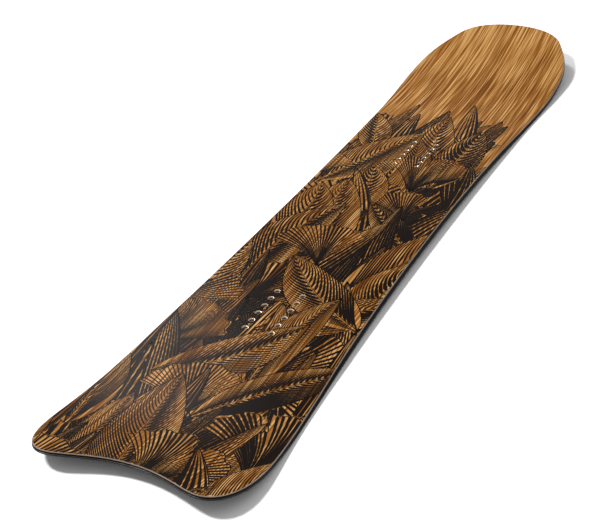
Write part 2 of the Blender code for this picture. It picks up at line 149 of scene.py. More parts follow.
# Stage, with the camera's lengths in millimetres and its turns in degrees
FOCAL_LENGTH, SENSOR_WIDTH = 71.836, 36.0
CAMERA_PLACE = (0.66900, -1.63630, 0.88720)
CAMERA_TURN = (60.6499, 2.3584, 25.2538)
KEY_PLACE = (-2.24, -1.33, 3.5)
BACK_PLACE = (-2.35, 2.55, 2.6)
FLOOR_HALF = 15.0
FLOOR_REFLECTANCE = 0.8
WHITE_FROM, WHITE_PAST = 1.2, 2.2    # distances between which the floor turns white

SIDES = ((-1, "left"), (1, "right"))


def linear(code):
    """Scene-linear red, green and blue of an sRGB hex colour."""
    shares = [int(code[k:k + 2], 16) / 255 for k in (1, 3, 5)]
    return [s / 12.92 if s <= 0.04045 else ((s + 0.055) / 1.055) ** 2.4 for s in shares]


def colour(name, description, code):
    """A colour that the user may change, with an sRGB hex default."""
    return FloatVectorProperty(name=name, description=description, subtype="COLOR", size=3,
                               min=0.0, max=1.0, default=linear(code))


def size(name, description, metres):
    """A length that the user may change."""
    return FloatProperty(name=name, description=description, subtype="DISTANCE",
                         unit="LENGTH", min=0.0, precision=5, default=metres)


class SnowboardSizes(bpy.types.PropertyGroup):
    """Sizes of the finish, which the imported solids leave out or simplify."""

    row_step: size("Row step", "Distance between rows of the outline", 0.0035)
    glue_line: size("Glue line", "Seam left between two layers", 0.00005)
    rim_width: size("Rim width", "Width of the bevel round the deck", 0.0011)
    rim_drop: size("Rim drop", "Height of the bevel round the deck", 0.00055)
    thread_pitch: size("Thread pitch", "Pitch of the thread in the inserts", 0.001)
    thread_depth: size("Thread depth", "Depth of the thread in the inserts", 0.0004)


class SnowboardPrint(bpy.types.PropertyGroup):
    """The drawing of leaves on the deck."""

    seed: IntProperty(name="Seed", description="Start of the random draws", default=17, min=0)
    front: size("Front", "How far forward the tips of the leaves reach", 0.365)
    margin: size("Margin", "Bare strip along the rim of the deck", 0.0002)
    outline: size("Outline", "Width of the line round a leaf", 0.0016)
    thin: size("Thinnest line", "Width of the finest vein", 0.0005)
    film: size("Film", "Thickness of the ink", 0.00003)


class SnowboardColours(bpy.types.PropertyGroup):
    """Colours of the finishes."""

    veneer_pale: colour("Veneer, pale", "Early wood of the veneer", "#DFAC6C")
    veneer_warm: colour("Veneer, warm", "Middle tone of the veneer", "#A36A2A")
    veneer_dark: colour("Veneer, dark", "Late wood of the veneer", "#6C3A0A")
    ink: colour("Ink", "Print under the lacquer", "#140D09")
    rim: colour("Rim", "Sanded glass laminate round the deck", "#95887E")
    glass: colour("Glass", "Trimmed glass laminate", "#2B2825")
    sidewall: colour("Sidewall", "Plastic of the sidewalls", "#0B0A0A")
    base: colour("Base", "Plastic that runs on the snow", "#101012")
    steel: colour("Edge steel", "Ground steel, dark", "#3F3C3A")
    stainless: colour("Insert steel", "Turned stainless steel", "#AC9D8C")
    # The thread's colour is painted shade: the insert steel darkened where the bore lies in shadow
    thread: colour("Thread", "Thread of the inserts, darkened as painted shade in the bore", "#4E4841")
    beech: colour("Beech", "Strips of the core", "#B58A5E")
    poplar: colour("Poplar", "Strips of the core", "#C9A97C")
    rubber: colour("Rubber", "Damping foil", "#1E1E1E")


class SnowboardStudio(bpy.types.PropertyGroup):
    """Light on the stage."""

    key_power: FloatProperty(name="Key light", description="Power of the softbox by the tail",
                             subtype="POWER", unit="POWER", default=124.0, min=0.0)
    key_size: size("Key size", "Side of the softbox by the tail", 0.6)
    back_power: FloatProperty(name="Back light", description="Power of the softbox past the nose",
                              subtype="POWER", unit="POWER", default=46.0, min=0.0)
    back_size: size("Back size", "Side of the softbox past the nose", 0.7)
    fill: FloatProperty(name="Fill", description="Strength of the light from all round",
                        default=0.31, min=0.0)
    floor_boost: FloatProperty(name="Floor", description="Brightness of the floor as seen",
                               default=1.6, min=0.0)


# Side view of the board


def base_line(y):
    """Height of the underside: an arch of camber between two flat contact lengths, and
    past each of them a parabola up to the end of the board."""
    front = NOSE_CONTACT_Y - CONTACT_LENGTH
    back = TAIL_CONTACT_Y + CONTACT_LENGTH
    share = (2 * y - front - back) / (front - back)
    camber = CAMBER * (1 - np.clip(share, -1, 1) ** 2)
    nose = np.clip((y - NOSE_CONTACT_Y) / NOSE_RISE_LENGTH, 0, None)
    tail = np.clip((TAIL_CONTACT_Y - y) / TAIL_RISE_LENGTH, 0, None)
    return camber + NOSE_LIFT * nose ** 2 + TAIL_LIFT * tail ** 2


def underside(y):
    """The base line, with a straight stretch under each pack of inserts."""
    line = base_line(y)
    for pack in PACK_Y.values():
        ends = np.array([pack - PAD_HALF, pack + PAD_HALF])
        line = np.where(np.abs(y - pack) < PAD_HALF, np.interp(y, ends, base_line(ends)), line)
    return line


def thickness(y):
    """Whole thickness: full between the packs' far ends, thinning to the core's two ends."""
    places = [CORE_TAIL_Y, PACK_Y["rear"] - PAD_HALF, PACK_Y["front"] + PAD_HALF, CORE_NOSE_Y]
    return np.interp(y, places, [TAIL_THICKNESS, MIDDLE_THICKNESS, MIDDLE_THICKNESS,
                                 NOSE_THICKNESS])


def at(height):
    """A layer's face that keeps one height over the underside."""
    return lambda y: np.full_like(np.asarray(y, float), height)


def under_deck(depth):
    """A layer's face that keeps one depth under the deck."""
    return lambda y: thickness(y) - depth


def wall_inset(height):
    """Inset of the board's leaning side at a height over the underside."""
    lean = math.tan(SIDEWALL_LEAN)
    return lambda y: SIDEWALL_SETBACK + np.clip(height(y) - EDGE_HEIGHT, 0, None) * lean


# Plan of the board


def curve(start, heading, ease, end, end_heading, end_ease, steps):
    """A cubic Bezier curve between two places with a heading at each: rows of x, y and the
    unit heading there."""
    start, end = np.array(start), np.array(end)
    reach = np.linalg.norm(end - start)
    first = start + ease * reach * np.array(heading)
    last = end - end_ease * reach * np.array(end_heading)
    t = steps[:, None]
    point = ((1 - t) ** 3 * start + 3 * (1 - t) ** 2 * t * first
             + 3 * (1 - t) * t ** 2 * last + t ** 3 * end)
    slope = ((1 - t) ** 2 * (first - start) + 2 * (1 - t) * t * (last - first)
             + t ** 2 * (end - last))
    return np.hstack([point, slope / np.linalg.norm(slope, axis=1, keepdims=True)])


def half_plan(step):
    """Right half of the plan at the steel edge: the flank from the tip to the bottom of the
    horn, and the notch from its middle to the same place. Rows lie a step apart along the
    curves, and below the middle of the notch both lines have a row at the same levels."""
    steps, nearest = np.linspace(0, 1, 1500), 1e-5
    outward, backward, inward = (1.0, 0.0), (0.0, -1.0), (-1.0, 0.0)
    past_shoulder = (math.cos(SHOULDER_ANGLE), -math.sin(SHOULDER_ANGLE))
    # Place, heading there, and how far the curves before and after it keep to that heading
    knots = (
        ((0.0, TIP_Y), outward, None, NOSE_EASE),
        ((SHOULDER_WIDTH / 2, TIP_Y - SHOULDER_DEPTH), past_shoulder, NOSE_EASE, NOSE_EASE),
        ((NOSE_WIDTH / 2, TIP_Y - NOSE_LENGTH), backward, NOSE_SIDE_EASE, SIDECUT_END_EASE),
        ((WAIST_WIDTH / 2, -WAIST_SETBACK), backward, SIDECUT_WAIST_EASE, SIDECUT_WAIST_EASE),
        ((TAIL_WIDTH / 2, HORN_Y + TAIL_LENGTH), backward, SIDECUT_END_EASE, TAIL_SIDE_EASE),
        ((HORN_SPACING / 2, HORN_Y), inward, HORN_EASE, HORN_EASE),
        ((0.0, HORN_Y + NOTCH_DEPTH), inward, NOTCH_EASE, None))
    curves = [curve(start, heading, ease, end, end_heading, end_ease, steps)
              for (start, heading, _, ease), (end, end_heading, end_ease, _)
              in zip(knots, knots[1:])]
    flank = np.vstack([curves[0]] + [line[1:] for line in curves[1:-1]])
    notch = curves[-1][::-1]

    def even(line):
        """Rows a step apart along a line."""
        run = np.cumsum(np.hypot(*np.diff(line[:, :2], axis=0).T))
        run = np.insert(run, 0, 0.0)
        stops = np.linspace(0, run[-1], math.ceil(run[-1] / step) + 1)
        return np.column_stack([np.interp(stops, run, column) for column in line.T])

    def at_levels(line, levels):
        """Rows of a line at given distances along the board."""
        return np.column_stack([np.interp(-levels, -line[:, 1], column) for column in line.T])

    rows = even(flank)
    bottom = notch[0, 1]
    levels = np.sort(np.concatenate([rows[rows[:, 1] < bottom, 1], even(notch)[:, 1]]))[::-1]
    levels = levels[np.concatenate([[True], np.diff(levels) < -nearest])]
    levels[-1] = HORN_Y
    return (np.vstack([rows[rows[:, 1] > bottom + nearest], at_levels(flank, levels)]),
            at_levels(notch, levels))


def moved_in(line, inset):
    """A line of the plan, moved in square to itself by an inset that may change along the
    board."""
    way = inset(line[:, 1]) if callable(inset) else np.full(len(line), inset)
    return line[:, :2] + way[:, None] * np.column_stack([line[:, 3], -line[:, 2]])


def spine_and_rim(plan, inset):
    """The two ends of every row of a layer: its rim on the flank, and opposite it the
    board's middle line, or the notch where there is one."""
    flank, notch = plan
    rim = moved_in(flank, inset)
    hollow = moved_in(notch, inset)
    middle = len(flank) - len(notch)
    y = flank[:middle, 1]
    share = (y - notch[0, 1]) / (TIP_Y - notch[0, 1])
    spine = np.zeros_like(rim)
    spine[:middle, 1] = hollow[0, 1] + share * (rim[0, 1] - hollow[0, 1])
    spine[middle:] = hollow
    return spine, rim


def raised(places, height):
    """Places of the plan with their height: the underside there and the layer's own."""
    y = places[..., 1]
    return np.concatenate([places, (underside(y) + height(y))[..., None]], -1)


def across(spine, rim, height, columns=ROW_COLUMNS):
    """A layer's face: the straight rows from the spine to the rim, as a grid."""
    share = np.linspace(0, 1, columns + 1)[None, :, None]
    return raised(spine[:, None] * (1 - share) + rim[:, None] * share, height)


# Meshes


def joined(name, grids):
    """One mesh from grids of points, each with the number of its material. Neighbouring
    points of a grid make its faces, and grids meet where their points coincide."""
    points, corners, slots = [], [], []
    start = 0
    for grid, slot in grids:
        index = start + np.arange(grid.shape[0] * grid.shape[1]).reshape(grid.shape[:2])
        quads = np.stack([index[:-1, :-1], index[1:, :-1], index[1:, 1:], index[:-1, 1:]], -1)
        points.append(grid.reshape(-1, 3))
        corners.append(quads.reshape(-1, 4))
        slots.append(np.full(quads.size // 4, slot))
        start += index.size
    corners = np.concatenate(corners)
    mesh = polygons(name, np.concatenate(points), corners.ravel(),
                    np.full(len(corners), 4), np.concatenate(slots))
    weld(mesh, closed=True)
    return mesh


def weld(mesh, closed):
    """Merge the points that coincide, and turn the faces of a closed mesh outwards."""
    bm = bmesh.new()
    bm.from_mesh(mesh)
    bmesh.ops.remove_doubles(bm, verts=bm.verts, dist=MERGE)
    if closed:
        bmesh.ops.dissolve_degenerate(bm, edges=bm.edges, dist=MERGE / 10)
        bmesh.ops.recalc_face_normals(bm, faces=bm.faces)
    bm.to_mesh(mesh)
    bm.free()


def polygons(name, points, corners, sizes, slots=None):
    """A mesh from whole arrays: points, the corners of all faces in turn, and how many
    corners each face has."""
    mesh = bpy.data.meshes.new(name)
    mesh.vertices.add(len(points))
    mesh.vertices.foreach_set("co", np.ascontiguousarray(points, np.float32).ravel())
    mesh.loops.add(len(corners))
    mesh.loops.foreach_set("vertex_index", np.ascontiguousarray(corners, np.int32))
    mesh.polygons.add(len(sizes))
    mesh.polygons.foreach_set("loop_start", np.cumsum(sizes).astype(np.int32) - sizes)
    if slots is not None:
        mesh.polygons.foreach_set("material_index", slots.astype(np.int32))
    mesh.update(calc_edges=True)
    mesh.validate()
    return mesh


def linked(name, data):
    """A new object in the scene."""
    made = bpy.data.objects.new(name, data)
    bpy.context.collection.objects.link(made)
    return made


def piece(mesh, slot, nodes, *materials):
    """Put a finished mesh into the scene as a piece that rides on the board."""
    made = linked(mesh.name, mesh)
    for finish in materials:
        mesh.materials.append(finish)
    mesh.shade_smooth()
    mesh.set_sharp_from_angle(angle=SHARP_ANGLE)
    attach(made, "root")
    if nodes:
        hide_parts(*nodes)
    return made


def mirrored(grids):
    """The same grids on both sides of the board."""
    return [(grid * (side, 1, 1), slot) for side, _ in SIDES for grid, slot in grids]


def layer(name, plan, section, columns=ROW_COLUMNS, slots=None):
    """A sheet over the whole plan. Its section goes up its side in pairs of an inset and a
    height, and its first and last pair bound the two faces."""
    lines = [spine_and_rim(plan, inset) for inset, _ in section]
    heights = [height for _, height in section]
    slots = slots or [0] * (len(section) - 1)
    notch_rows = len(plan[1])
    grids = [(across(*lines[0], heights[0], columns), 0),
             (across(*lines[-1], heights[-1], columns), 0)]
    for k, slot in enumerate(slots):
        for end, rows in ((1, slice(None)), (0, slice(-notch_rows, None))):
            band = np.stack([raised(lines[k][end][rows], heights[k]),
                             raised(lines[k + 1][end][rows], heights[k + 1])], 1)
            grids.append((band, slot))
    return joined(name, mirrored(grids))


def beside_core(flank, insets):
    """The flank moved in by each inset, and cut straight across at the core's two ends."""
    inside = (flank[:, 1] < CORE_NOSE_Y - CORE_INSET) & (flank[:, 1] > CORE_TAIL_Y + CORE_INSET)
    cut = []
    for inset in insets:
        line = moved_in(flank, inset)
        front, back = np.interp([-CORE_NOSE_Y, -CORE_TAIL_Y], -line[:, 1], line[:, 0])
        cut.append(np.vstack([[front, CORE_NOSE_Y], line[inside], [back, CORE_TAIL_Y]]))
    return cut


def strip(name, lines, heights, side):
    """A strip that runs the length of its lines, which are its corners in order. Both ends
    are closed by a fan round the section's middle."""
    loop = np.stack([raised(line * (side, 1), height)
                     for line, height in zip(lines, heights)], 1)
    loop = np.concatenate([loop, loop[:, :1]], 1)
    ends = []
    for end in (loop[:1], loop[-1:]):
        middle = np.broadcast_to(end[:, :-1].mean(1, keepdims=True), end.shape)
        ends.append((np.concatenate([end, middle]), 0))
    return joined(name, [(loop, 0)] + ends)


def round_board(plan, inset, gap):
    """The line along one side from the tip round the horn to the middle of the notch."""
    flank, notch = plan
    line = np.vstack([moved_in(flank, inset), moved_in(notch, inset)[-2::-1]])
    line[:, 0] = np.clip(line[:, 0], gap / 2, None)
    return line


def pad_frame(pack):
    """The underside of one pack's flat stretch: its middle, turned to its slope."""
    back, front = PACK_Y[pack] - PAD_HALF, PACK_Y[pack] + PAD_HALF
    low, high = base_line(np.array([back, front]))
    slope = math.atan2(high - low, front - back)
    middle = Vector((0, PACK_Y[pack], (low + high) / 2))
    return Matrix.Translation(middle) @ Matrix.Rotation(slope, 4, "X")


def insert_places():
    """Name and place of every insert, on the underside of its pad."""
    first = -INSERT_PITCH * (INSERTS_PER_ROW - 1) / 2
    for pack in PACK_Y:
        for side, row in SIDES:
            for k in range(INSERTS_PER_ROW):
                place = Vector((side * ROW_SPACING / 2, first + k * INSERT_PITCH, 0))
                yield (f"insert_{pack}_{row}_{k + 1}",
                       np.array(pad_frame(pack) @ Matrix.Translation(place)))


def turned_grid(profile, sides):
    """A surface of revolution: the profile's radii and heights at every angle."""
    angle = np.linspace(0, 2 * math.pi, sides + 1)[:, None]
    radius, height = np.array(profile).T[:, None]
    return np.stack([radius * np.cos(angle), radius * np.sin(angle),
                     np.broadcast_to(height, (sides + 1, height.shape[1]))], -1)


def placed(grid, place):
    """A grid moved by a 4 x 4 matrix."""
    return grid @ place[:3, :3].T + place[:3, 3]


def cut_holes(made, radius, top):
    """Cut a round hole at every insert out of a piece, for good, from its pad's underside
    up to a height over it."""
    bar = turned_grid([(0, 0), (radius, 0), (radius, top), (0, top)], HOLE_SIDES)
    mesh = joined("drill", [(placed(bar, place), 0) for _, place in insert_places()])
    cutter = linked("drill", mesh)
    change = made.modifiers.new("holes", "BOOLEAN")
    change.operation, change.solver, change.object = "DIFFERENCE", "EXACT", cutter
    graph = bpy.context.evaluated_depsgraph_get()
    mesh = bpy.data.meshes.new_from_object(made.evaluated_get(graph))
    made.modifiers.clear()
    bpy.data.objects.remove(cutter)
    mesh.name = made.data.name
    made.data = mesh
    mesh.set_sharp_from_angle(angle=SHARP_ANGLE)


# Leaves of the print

LEAF_LINE = np.linspace(0.002, 0.998, 60)       # steps along a long leaf, short of its points


def swell(u, rise, fall):
    """Width of a leaf along its length, 1 at its widest: u to one power times its rest to
    another."""
    u = np.clip(u, 0, 1)
    top = rise / (rise + fall)
    return u ** rise * (1 - u) ** fall / (top ** rise * (1 - top) ** fall)


class Leaf:
    """A leaf drawn on the deck: its foot, its turn from the board's length, its own plane
    with one axis along it and one across, the weight of its ink, which is heaviest round
    the rear binding, and the room between its lines, which grows towards the nose."""

    def __init__(self, draw, x, y, turn):
        self.foot = np.array([x, y])
        self.along = np.array([math.sin(turn), math.cos(turn)])
        self.aside = np.array([math.cos(turn), -math.sin(turn)])
        self.weight = HEAVY_INK * math.exp(-((y - HEAVY_INK_Y) / HEAVY_INK_REACH) ** 2)
        self.room = 1.05 + 0.45 * y
        self.grow(draw)

    def on_deck(self, along, aside):
        """Places on the deck of places in the leaf's plane."""
        return self.foot + along[..., None] * self.along + aside[..., None] * self.aside

    def from_deck(self, places):
        """The leaf's own two coordinates of places on the deck."""
        places = places - self.foot
        return places @ self.along, places @ self.aside


class LongLeaf(Leaf):
    """A leaf whose half width swells and shrinks along a bowed midrib."""

    def half_width(self, u):
        """Half the leaf's width at u along its midrib."""
        return self.half * swell(u, self.rise, self.fall)

    def bowed(self, u):
        """How far aside the midrib lies at u."""
        return self.bow * self.length * 4 * u * (1 - u)

    def point(self, u, v):
        """u runs along the midrib and v across, both margins at -1 and 1."""
        return self.on_deck(u * self.length, v * self.half_width(u) + self.bowed(u))

    def depth(self, places):
        """How far inside the margin a place lies, below 0 outside."""
        along, aside = self.from_deck(places)
        u = along / self.length
        past = np.maximum(-along, along - self.length)
        inside = self.half_width(u) - np.abs(aside - self.bowed(u))
        return np.where(past > 0, -past, inside)

    def margin(self, width):
        """The two lines along the margins."""
        u = LEAF_LINE[None]
        return [ribbon(self.point(u, np.full_like(u, side)), np.full(u.shape, width))
                for side in (-1, 1)]


class FeatherLeaf(LongLeaf):
    """A broad leaf with veins that sweep from the midrib to the margin. One half is in
    shade, where the veins run together along the midrib. Where the veins bend most, the
    other half is dark too."""

    def grow(self, draw):
        self.length = draw.uniform(0.17, 0.28)
        self.half = self.length * draw.uniform(0.14, 0.20)
        self.bow = draw.uniform(-0.09, 0.09)
        self.rise, self.fall = 0.75, 0.95
        self.veins = int(self.length / draw.uniform(0.0095, 0.0140) / self.room)
        self.sweep = draw.uniform(0.30, 0.50)
        self.bend = draw.uniform(1.05, 1.35)
        self.lit = draw.choice([-1, 1])
        self.pale = draw.uniform(0.31, 0.47) + 0.34 * (self.bend > 1.28) + self.weight
        self.shade = draw.uniform(0.90, 1.30) + self.weight

    def midrib(self, u):
        """Half the midrib's width at u, 1.8 mm at its foot, as a share of the leaf's."""
        return np.minimum(0.0018 * (1 - u) ** 0.8 / np.maximum(self.half_width(u), 1e-4), 0.5)

    def strokes(self, outline, thin):
        """The margins, the veins of both halves and the two sides of the midrib. While t
        runs from the midrib to the margin, a vein runs on along the leaf from its start
        by its reach times t to the power of the bend."""
        parts = self.margin(outline)
        start = (np.arange(self.veins) + 0.3) / self.veins * 1.06 - 0.10
        start, t = np.meshgrid(start, np.linspace(0, 1, 13), indexing="ij")
        reach = self.sweep * (1 - np.clip(start, 0, 1)) ** 0.5 + 0.03
        u = np.clip(start + reach * t ** self.bend, 0.001, 0.999)
        rib = self.midrib(u)
        live = start[:, 0] + self.sweep > 0.02
        for side in (-1, 1):
            lines = self.point(u, side * (rib + (1 - rib) * t))
            if side == self.lit:
                share = np.clip(self.pale + 0.8 * (1 - u) ** 2.5, 0.2, 1.02)
            else:
                share = np.clip(self.shade - 0.95 * t, 0.34, 1.02)
            share = share * np.clip(0.25 + t / 0.16, 0, 1)
            parts.append(hatching(lines[live], share[live], thin))
        u = LEAF_LINE[None]
        for side in (-1, 1):
            parts.append(ribbon(self.point(u, side * self.midrib(u)),
                                outline * (0.8 - 0.45 * u)))
        return np.concatenate(parts)


class BladeLeaf(LongLeaf):
    """A long blade of grass with a few ribs from its foot to its tip."""

    def grow(self, draw):
        self.length = draw.uniform(0.26, 0.40)
        self.half = self.length * draw.uniform(0.055, 0.09)
        self.bow = draw.uniform(-0.08, 0.08)
        self.rise, self.fall = 0.5, 0.8
        self.ribs = int(draw.integers(5, 10))
        self.phase = draw.uniform(0, 6.3)
        self.dark = draw.uniform(0.37, 0.67) + self.weight

    def strokes(self, outline, thin):
        """The margins and the ribs, darker towards one side and the foot."""
        v = (np.arange(self.ribs) + 0.5) / self.ribs * 2 - 1
        v, u = np.meshgrid(v, LEAF_LINE, indexing="ij")
        shade = 0.5 + 0.5 * np.cos(math.pi * (v * 0.5 + 0.5) + self.phase)
        share = np.clip(self.dark + 0.4 * shade + 0.6 * (1 - u) ** 2 - 0.1, 0.2, 0.97)
        return np.concatenate(self.margin(outline) + [hatching(self.point(u, v), share, thin)])


class FanLeaf(Leaf):
    """A leaf like an open fan: rays from its foot to a scalloped margin, pleated into
    lighter and darker folds."""

    def grow(self, draw):
        self.length = draw.uniform(0.11, 0.17)
        self.spread = math.radians(draw.uniform(34, 58))
        self.bow = draw.uniform(-0.35, 0.35)
        self.cleft = float(draw.random() < 0.6)
        self.scallops = int(draw.integers(5, 9))
        self.rays = int(draw.choice([draw.integers(19, 27), draw.integers(32, 46)]) / self.room)
        self.pleats = draw.uniform(1.5, 3.5)
        self.phase = draw.uniform(0, 6.3)
        self.dark = draw.uniform(0.36, 0.62) + self.weight
        self.flare = 0.40

    def reach(self, u):
        """Length of the ray at u, from one side at -1 to the other at 1: shorter by u^2,
        with a narrow cleft at 0 in some fans, and with scallops as a cosine."""
        return self.length * (1 - 0.16 * u ** 2 - 0.30 * self.cleft * np.exp(-(u / 0.07) ** 2)
                              + 0.018 * np.cos(self.scallops * math.pi * u))

    def point(self, u, s):
        """u picks the ray and s runs along it. The fan opens faster near its foot."""
        r = s * self.reach(u)
        angle = self.spread * u * s ** self.flare + self.bow * s
        return self.on_deck(r * np.cos(angle), r * np.sin(angle))

    def depth(self, places):
        """How far inside the fan a place lies, below 0 outside."""
        along, aside = self.from_deck(places)
        r = np.hypot(along, aside) + 1e-9
        s = np.clip(r / self.length, 1e-3, 1.2)
        opened = self.spread * s ** self.flare
        u = (np.arctan2(aside, along) - self.bow * s) / opened
        return np.minimum(self.reach(np.clip(u, -1, 1)) - r, (1 - np.abs(u)) * opened * r)

    def strokes(self, outline, thin):
        """The rays, darker towards the foot and in every second fold, and the outline."""
        u = (np.arange(self.rays) + 0.5) / self.rays * 2 - 1
        u, s = np.meshgrid(u, np.linspace(0.04, 0.985, 26), indexing="ij")
        pleat = np.cos(self.pleats * math.pi * u + self.phase)
        share = np.clip(self.dark + 0.8 * (1 - s) ** 1.3 + 0.16 * pleat, 0.24, 1.0)
        rim = np.linspace(-1, 1, 90)[None]
        run = np.linspace(0.01, 1, 30)[None]
        return np.concatenate(
            [hatching(self.point(u, s), share, thin),
             ribbon(self.point(rim, np.full_like(rim, 0.99)), np.full(rim.shape, outline))]
            + [ribbon(self.point(np.full_like(run, side), run), np.full(run.shape, outline))
               for side in (-0.985, 0.985)])


def heading(lines):
    """Unit way of lines of points at each of their points."""
    way = np.gradient(lines, axis=1)
    return way / (np.linalg.norm(way, axis=-1, keepdims=True) + 1e-12)


def stepped(right, left):
    """Quads between two lines of points, faces up."""
    return np.stack([right[:, :-1], right[:, 1:], left[:, 1:], left[:, :-1]], 2).reshape(-1, 4, 2)


def ribbon(lines, width):
    """Quads along lines of points, each as wide as given there."""
    way = heading(lines)
    out = np.stack([way[..., 1], -way[..., 0]], -1) * (width / 2)[..., None]
    return stepped(lines + out, lines - out)


def hatching(lines, share, thin):
    """Ribbons along neighbouring lines, each as wide as its share of the gap between them."""
    way = heading(lines)
    step = np.gradient(lines, axis=0)
    gap = np.abs(step[..., 0] * way[..., 1] - step[..., 1] * way[..., 0])
    return ribbon(lines, np.maximum(share * gap, thin))


def clipped(quads, field):
    """The part of each quad where a field, known at its corners, is below 0. Every edge is
    cut where the field crosses 0, and the corners and cuts that stay make the new face."""
    ahead, field_ahead = np.roll(quads, -1, 1), np.roll(field, -1, 1)
    inside = field < 0
    crossed = inside != (field_ahead < 0)
    t = np.where(crossed, field / np.where(crossed, field - field_ahead, 1), 0)
    cuts = quads + t[..., None] * (ahead - quads)
    points = np.stack([quads, cuts], 2).reshape(len(quads), 8, 2)
    keep = np.stack([inside, crossed], 2).reshape(len(quads), 8)
    whole = keep.sum(1) > 2
    return points[whole], keep[whole]


def split_near(quads, middles, distance, parts):
    """Quads near any of some places, cut into shorter ones along their length."""
    gap = np.linalg.norm(quads.mean(1)[:, None] - middles[None], axis=-1).min(1)
    close = quads[gap < distance]
    t = np.arange(parts + 1)[None, :, None] / parts
    right = close[:, None, 0] * (1 - t) + close[:, None, 1] * t
    left = close[:, None, 3] * (1 - t) + close[:, None, 2] * t
    return np.concatenate([quads[gap >= distance], stepped(right, left)])


def laid_leaves(settings):
    """Leaves in rows, tips to the nose, in the order in which they are laid. A leaf nearer
    to the tail lies over one nearer to the nose, and a last set of blades lies under all
    and fills the gaps. The feet lie in arcs, behind by 4 x^2 at x from the middle, and the
    leaves lean outwards by 1.2 x."""
    draw = np.random.default_rng(settings.seed)
    leaves = []
    # Kind, room between rows and between leaves, first row's distance behind the front of
    # the print, spread of the turn, and rank in the order of laying
    rows = ((BladeLeaf, 0.085, 0.050, 0.28, 0.30, 0.0),
            (FeatherLeaf, 0.115, 0.105, 0.20, 0.50, 0.2),
            (FanLeaf, 0.15, 0.14, 0.14, 0.55, 0.22),
            (BladeLeaf, 0.11, 0.055, 0.36, 0.45, -9.0))
    for kind, row_gap, gap, behind, spread, rank in rows:
        first = settings.front - behind
        for number, y in enumerate(np.arange(first, LEAF_FIELD_END, -row_gap)):
            for x in np.arange(number % 2 * gap / 2 - LEAF_FIELD_HALF, LEAF_FIELD_HALF, gap):
                foot_x = x + draw.uniform(-0.3, 0.3) * gap
                foot_y = y + draw.uniform(-0.35, 0.35) * row_gap - 4.0 * x * x
                turn = draw.normal(0, spread) + 1.2 * x
                order = rank - foot_y + draw.uniform(-0.06, 0.06)
                leaves.append((order, kind(draw, foot_x, foot_y, turn)))
    return [leaf for _, leaf in sorted(leaves, key=lambda pair: pair[0])]


def past_deck(plan, inset, places):
    """How far outside the deck's rim, moved in by an inset, places lie, below 0 inside."""
    flank, notch = (moved_in(line, inset) for line in plan)
    x, y = np.abs(places[..., 0]), places[..., 1]
    side = x - np.interp(-y, -flank[:, 1], flank[:, 0])
    end = np.interp(x, notch[:, 0], notch[:, 1]) - y
    return np.maximum(side, end)


def inked(plan, settings, inset):
    """All strokes of the print as faces in plan, clipped to the deck, to the leaves over
    them and to the inserts."""
    leaves = laid_leaves(settings)
    middles = np.array([place[:2, 3] + place[:2, 2] * MIDDLE_THICKNESS
                        for _, place in insert_places()])
    faces, kept = [], []
    for number, leaf in enumerate(leaves):
        quads = leaf.strokes(settings.outline, settings.thin)
        quads = quads[(np.abs(quads[..., 0]) < NOSE_WIDTH / 2).any(1)
                      & (quads[..., 1] > HORN_Y).any(1)]
        if not len(quads):
            continue
        quads = split_near(quads, middles, distance=0.02, parts=6)
        hole = np.linalg.norm(quads[:, :, None] - middles, axis=-1).min(-1)
        field = np.maximum(past_deck(plan, inset, quads), INK_CLEARANCE - hole)
        field = np.maximum(field, -leaf.depth(quads) - settings.outline / 2)
        for upper in leaves[number + 1:]:
            if np.linalg.norm(upper.foot - leaf.foot) < upper.length + leaf.length:
                field = np.maximum(field, upper.depth(quads) - settings.outline / 4)
        points, keep = clipped(quads, field)
        faces.append(points)
        kept.append(keep)
    return np.concatenate(faces), np.concatenate(kept)


# Materials

LACQUER = {"Roughness": 0.26, "Specular IOR Level": 0.012}
WHITE = (1.0, 1.0, 1.0, 1.0)


def add(tree, kind, sockets=(), ramp=(), drives=None, **settings):
    """Add one node: its settings, its sockets, each given a value, a node or a node's
    output, the stops of its ramp, and the socket of the Principled shader that it drives.
    A node stands for its first output."""
    made = tree.nodes.new("ShaderNode" + kind)
    for name, value in settings.items():
        setattr(made, name, value)
    for name, value in dict(sockets).items():
        if isinstance(value, bpy.types.Node):
            value = value.outputs[0]
        if isinstance(value, bpy.types.NodeSocket):
            tree.links.new(value, made.inputs[name])
        else:
            made.inputs[name].default_value = value
    for number, (place, tint) in enumerate(ramp):
        stops = made.color_ramp.elements
        stop = stops[number] if number < 2 else stops.new(place)
        stop.position, stop.color = place, (*tint, 1.0)
    if drives:
        tree.links.new(made.outputs[0], tree.nodes["Principled BSDF"].inputs[drives])
    return made


def material(name, sockets):
    """A material of one Principled shader, with constants on its own sockets, and its tree."""
    made = bpy.data.materials.new(name)
    made.use_nodes = True
    for socket, value in sockets.items():
        made.node_tree.nodes["Principled BSDF"].inputs[socket].default_value = value
    return made, made.node_tree


def scaled(tint, factor):
    """A colour made darker or lighter."""
    return [min(factor * c, 1.0) for c in tint]


def grained(tree, width, length, height, detail=2.0, place=None):
    """Noise whose grains measure so many millimetres across the board, along it and up, on
    the piece's own coordinates or on other ones."""
    place = place or add(tree, "TexCoord").outputs["Object"]
    fitted = add(tree, "Mapping", {
        "Vector": place, "Scale": (1000 / width, 1000 / length, 1000 / height)})
    return add(tree, "TexNoise", {"Vector": fitted, "Scale": 1.0, "Detail": detail,
                                  "Roughness": 0.5})


